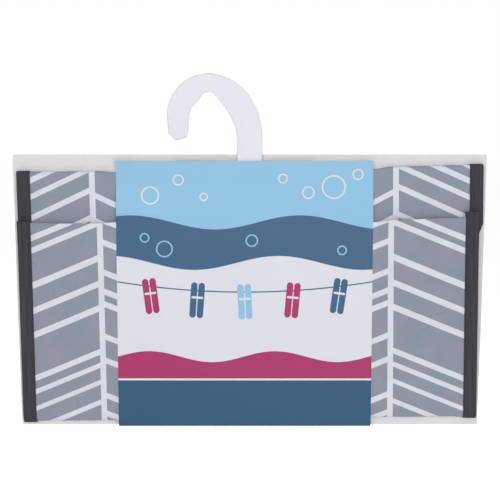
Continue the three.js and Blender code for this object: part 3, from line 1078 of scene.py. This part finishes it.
def rotated(tree, flat, centre, angle):
    inputs = {"Vector": flat, "Center": centre, "Angle": angle}
    return add(tree, "ShaderNodeVectorRotate", inputs, rotation_type="Z_AXIS").outputs[0]


def peg(tree, bar, flat, across, up, ink, colour):
    """Two legs and a spring, printed over a colour."""
    leg = {"Vector": flat, "Reach": PEG_REACH, "Radius": PEG_LEG}
    for side in (-1, 1):
        centre = (across + side * PEG_SPLAY, up, 0)
        colour = mixed(tree, use(tree, bar, {**leg, "Centre": centre}), colour, ink)
    centre = (across, up + SPRING_RISE, 0)
    lying = rotated(tree, flat, centre, QUARTER_TURN)
    spring = {"Vector": lying, "Centre": centre, "Reach": SPRING_REACH, "Radius": SPRING_WIDTH}
    return mixed(tree, use(tree, bar, spring), colour, PRINT_PALE)


def pegs_on_line(tree, flat, parts, colour):
    """A sagging line with pegs on it, printed over a colour."""
    bar = rounded_bar_group()
    from_middle = calc(tree, "SUBTRACT", parts["X"], LINE_MIDDLE)
    sag = calc(tree, "MULTIPLY", calc(tree, "MULTIPLY", from_middle, from_middle), LINE_SAG)
    level = calc(tree, "SUBTRACT", parts["Y"], sag)
    is_line = calc(tree, "COMPARE", level, LINE_HEIGHT, LINE_WIDTH / 2)
    colour = mixed(tree, is_line, colour, PRINT_NAVY)
    for across, tilt, ink in PEGS:
        up = LINE_HEIGHT + LINE_SAG * (across - LINE_MIDDLE) ** 2 - PEG_DROP
        tilted = rotated(tree, flat, (across, up, 0), math.radians(tilt))
        colour = peg(tree, bar, tilted, across, up, ink, colour)
    return colour


def wavy_fields(tree, parts, colour):
    for height, swing, length, shift, ink in FIELDS:
        per_mm = 2 * HALF_TURN / length
        turn = calc(tree, "MULTIPLY_ADD", parts["X"], per_mm, shift * per_mm)
        line = calc(tree, "MULTIPLY_ADD", calc(tree, "SINE", turn), swing, height)
        colour = mixed(tree, calc(tree, "LESS_THAN", parts["Y"], line), colour, ink)
    return colour


def bubbles(tree, flat, colour):
    for ink, rings in BUBBLES.items():
        for across, up, radius in rings:
            away = vector_calc(tree, "DISTANCE", flat, (across, up, 0))["Value"]
            is_ring = calc(tree, "COMPARE", away, radius, BUBBLE_LINE / 2)
            colour = mixed(tree, is_ring, colour, ink)
    return colour


def printed_board(mottle):
    made, tree, shader = new_material("printed_board", specular=0.2)
    flat = in_millimetres(tree, cloth_uv(tree))
    parts = split(tree, flat)
    colour = wavy_fields(tree, parts, PRINT_SKY)
    colour = bubbles(tree, flat, colour)
    colour = pegs_on_line(tree, flat, parts, colour)
    paint(tree, shader, colour, mottle, flat, scale=0.03, amount=0.05)
    fibre = cloud(tree, flat, scale=1.2, detail=3.0)
    put(tree, shader["Roughness"], between(tree, fibre, *PRINT_ROUGHNESS))
    put(tree, shader["Normal"], bump(tree, fibre, FIBRE_DEPTH, strength=0.15))
    return made


# Stage

FLOOR_DROP = 0.4
FLOOR_SIZE = 14.0
FLOOR_WHITE = srgb(240, 240, 240)
GLOW_NEAR = 0.26  # so that the shadow beside the object still shows
GLOW_FAR = 0.8
GLOW_START, GLOW_END = 0.75, 1.15  # distances from the hook
WORLD_LIGHT = 0.165
WORLD_WHITE = (1.0, 1.0, 1.0, 1.0)
LAMPS = (
    # name, place from the picture's centre, size, watts
    ("key_light", (-0.35, -1.85, 0.5), 0.8, 11.6),
    ("fill_light", (0.45, -1.9, 0.05), 0.8, 9.8),
    ("top_light", (0.0, -0.4, 1.5), 0.6, 5.6),
    ("back_light", (0.4, 1.9, 0.5), 1.2, 20.0),
    ("left_light", (-1.8, 0.35, 0.35), 0.8, 9.0),
    ("right_light", (1.8, 0.35, 0.35), 0.8, 9.0),
)


def view_centre():
    return Vector((CENTRE_X + VIEW_RIGHT, 0.0, TOP_Z - VIEW_BELOW_TOP))


def make_camera():
    camera = bpy.data.cameras.new("camera")
    camera.lens = SENSOR_WIDTH * FOCAL_PIXELS / IMAGE_PIXELS
    camera.sensor_width = SENSOR_WIDTH
    holder = add_object("camera", camera)
    away = Vector((0.0, -math.cos(VIEW_ELEVATION), math.sin(VIEW_ELEVATION)))
    holder.location = view_centre() + VIEW_DISTANCE * away
    holder.rotation_euler = (-away).to_track_quat("-Z", "Y").to_euler()
    bpy.context.scene.camera = holder


def background_rays(tree):
    """1 for the rays that see the background itself: from the camera, or by way of gloss or glass."""
    path = tree.nodes.new("ShaderNodeLightPath").outputs
    seen = calc(tree, "MAXIMUM", path["Is Camera Ray"], path["Is Glossy Ray"])
    return calc(tree, "MAXIMUM", seen, path["Is Transmission Ray"])


def make_world():
    world = bpy.data.worlds.new("studio")
    world.use_nodes = True
    bpy.context.scene.world = world
    tree = world.node_tree
    background = tree.nodes["Background"].inputs
    background["Color"].default_value = WORLD_WHITE
    extra = calc(tree, "MULTIPLY", background_rays(tree), 1 - WORLD_LIGHT)
    put(tree, background["Strength"], calc(tree, "ADD", extra, WORLD_LIGHT))


def make_lamps():
    for name, place, size, watts in LAMPS:
        lamp = bpy.data.lights.new(name, "AREA")
        lamp.size = size
        lamp.energy = watts
        holder = add_object(name, lamp)
        holder.location = view_centre() + Vector(place)
        holder.rotation_euler = (-Vector(place)).to_track_quat("-Z", "Y").to_euler()


def make_floor():
    mesh = bpy.data.meshes.new("floor")
    half = FLOOR_SIZE / 2
    z = FOLD.z - FLOOR_DROP
    corners = [(-half, -half, z), (half, -half, z), (half, half, z), (-half, half, z)]
    mesh.from_pydata(corners, [], [(0, 1, 2, 3)])
    made, tree, shader = new_material("pale_floor", specular=0.1, roughness=0.8)
    shader["Base Color"].default_value = FLOOR_WHITE
    shader["Emission Color"].default_value = WORLD_WHITE
    away = vector_calc(tree, "LENGTH", object_place(tree))["Value"]
    glow = add(tree, "ShaderNodeMapRange", {
        "Value": away,
        "From Min": GLOW_START,
        "From Max": GLOW_END,
        "To Min": GLOW_NEAR,
        "To Max": GLOW_FAR,
    }).outputs["Result"]
    put(tree, shader["Emission Strength"], calc(tree, "MULTIPLY", background_rays(tree), glow))
    mesh.materials.append(made)
    add_object("floor", mesh)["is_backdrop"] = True


# Assembly

def offset(y=0.0, z=0.0):
    return Vector((0.0, y, z)) * MM


# Points on either side of the packing fold, for the outer and for the inner side tapes
OUTER_TAPE_BEND = (FOLD + offset(y=2.45), FOLD + offset(y=-2.45))
INNER_TAPE_BEND = (FOLD + offset(y=1.0), FOLD + offset(y=-1.0))


def dress_flap(finishes, tape_finish, tree):
    flap = flap_cloth(finishes)
    section = binding_section(FLAP_TAPE_WIDTH, is_whole=True)
    binding = tape("flap_tape", flap_path(0.0), section, on_strip, tape_finish)
    row_inset = FLAP_TAPE_WIDTH - STITCH_INSET
    seam = [(a, b) for a, b, _, _ in flap_path(row_inset) if b < TOP_START - FLAP_SEAM_STOP]
    faces = [[on_strip(a, b, side * (LIFT + TAPE / 2)) for a, b in seam] for side in (1, -1)]
    stitches = stitch_rows("flap_stitches", faces, tree)
    for piece in (flap, binding):
        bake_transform(piece)
    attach(stitches, "flap")
    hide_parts("flap_panel", "top_fold")
    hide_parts("flap_binding")
    edge = flap_side(HALF_BAG - HALF_CLOTH)
    area = sum((b0 - b1) * (a0 + a1) for (a0, b0), (a1, b1) in zip(edge, edge[1:]))
    return [flap], [binding, stitches]


def hem_seam():
    """Row of stitches along the hem, on the front of the mouth."""
    reach = HALF_BAG - BINDING_WIDTH
    along = MOUTH - HEM_SEAM * HEM_HEIGHT
    return [on_strip(across, along, CLOTH / 2) for across in steps(-reach, reach, CROSS_STEP)]


def dress_bag(finishes, tape_finish, tree):
    back = bag_cloth("back_cloth", TOP_END, EDGE_END, finishes)
    front = bag_cloth("front_cloth", EDGE_END, HEM_END, finishes)
    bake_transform(back)
    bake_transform(front)
    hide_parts("back_panel_upper", "back_fold", "back_panel_lower", "bottom_fold")
    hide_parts("front_panel_upper", "front_fold", "front_panel_lower", "mouth_hem")
    upper_lines, lower_lines, tapes = [hem_seam()], [], []
    for side, word in ((-1, "left"), (1, "right")):
        nodes = [f"side_binding_{word}_{part}" for part in ("upper", "fold", "lower")]
        tail_z = EDGE_Z + TAIL[side]
        for layer, ends, bend, starts_low in (
            ("outer", (BACK_Y, TOP_AXIS_Z, LOWER_BACK_Y, tail_z), OUTER_TAPE_BEND, False),
            ("inner", (LOWER_FRONT_Y, tail_z, FRONT_Y, TOP_AXIS_Z), INNER_TAPE_BEND, True),
        ):
            run, fold_start, fold_end = tape_run(*ends)
            lay = tape_lay(run, starts_low)
            made = side_tape(f"side_tape_{word}_{layer}", side, run, lay, tape_finish)
            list(bend)
            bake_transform(made)
            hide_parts(*nodes)
            tapes.append(made)
            first, second = seam_lines(side, run, lay, fold_start, fold_end)
            lower_lines.append(first if starts_low else second)
            upper_lines.append(second if starts_low else first)
    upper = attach(stitch_rows("upper_stitches", upper_lines, tree), "bag")
    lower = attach(stitch_rows("lower_stitches", lower_lines, tree), "lower_half")
    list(tapes[::2])
    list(tapes[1::2])
    return [back, front], [*tapes, upper, lower]


def dress_card(print_finish, board_finish, glue_finish):
    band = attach(front_band((print_finish, board_finish)), "front_card")
    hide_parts("front_card")
    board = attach(backing_board(board_finish), "backing_card")
    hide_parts("backing_card")
    for side in ("left", "right"):
        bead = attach(glue_bead(side, glue_finish), "front_card")
        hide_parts(f"glue_bead_{side}")


def build():
    weave, mottle, creases = weave_group(), mottle_group(), crease_group()
    flap_herringbone = herringbone_group("flap_herringbone", **FLAP_PRINT)
    body_herringbone = herringbone_group("body_herringbone", **BODY_PRINT)
    flap_print = printed_cloth("flap_print", weave, mottle, creases, flap_herringbone)
    body_print = printed_cloth("body_print", weave, mottle, creases, body_herringbone)
    lining = coated_lining(weave, mottle, creases)
    tape_finish = binding_tape(weave, mottle)
    tree = stitch_tree(sewing_thread(mottle))
    flap_cloths, flap_trim = dress_flap((flap_print, lining), tape_finish, tree)
    bag_cloths, bag_trim = dress_bag((body_print, lining), tape_finish, tree)
    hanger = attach(moulded_hanger(moulded_plastic(mottle)), "bag")
    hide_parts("hanger")
    dress_card(printed_board(mottle), pale_board(mottle), set_glue(mottle))


bpy.context.scene.view_settings.view_transform = "Standard"
make_camera()
make_world()
make_lamps()
make_floor()
build()

boxes = {"cad": CAD_BOX, "visual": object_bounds()}
{name: [list(corner) for corner in box] for name, box in boxes.items()}
